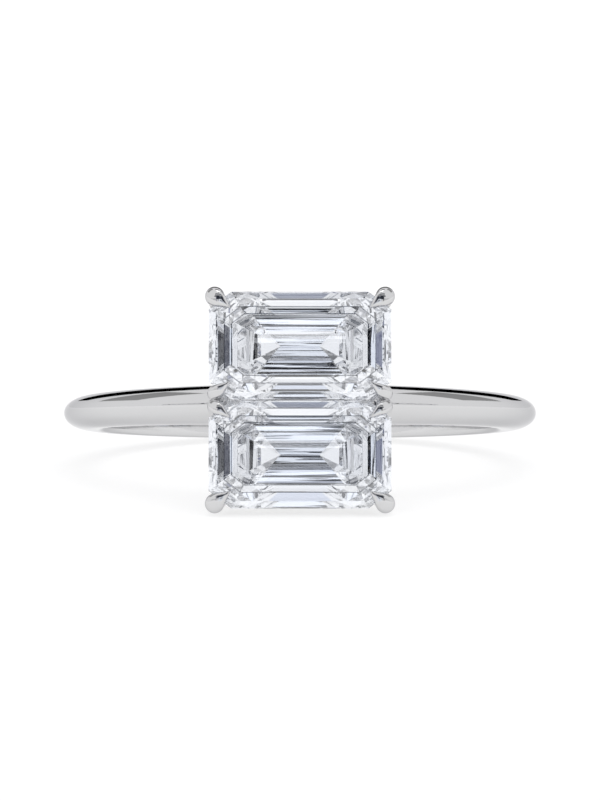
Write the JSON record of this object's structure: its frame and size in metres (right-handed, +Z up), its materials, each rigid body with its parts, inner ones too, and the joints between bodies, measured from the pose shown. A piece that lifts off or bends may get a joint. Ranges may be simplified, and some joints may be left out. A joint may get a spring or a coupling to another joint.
{
  "type": "east west ring",
  "caption": "Slim polished ring with step cut stones set across the finger, one beside the other, in pointed claws over an open basket.",
  "frame": {"origin": "middle of the ring's box, on the surface that the ring rests on", "axes": "+Z up from that surface, -Y the way that the head and the stones face, +X to the right for someone who faces the stones"},
  "size_m": [0.0208, 0.0242, 0.0093],
  "materials": {
    "white_gold": "polished",
    "clear_stone": "polished"
  },
  "bodies": {
    "root": {"band_and_setting": "white_gold", "stone_upper": "clear_stone", "stone_lower": "clear_stone"}
  },
  "joints": []
}
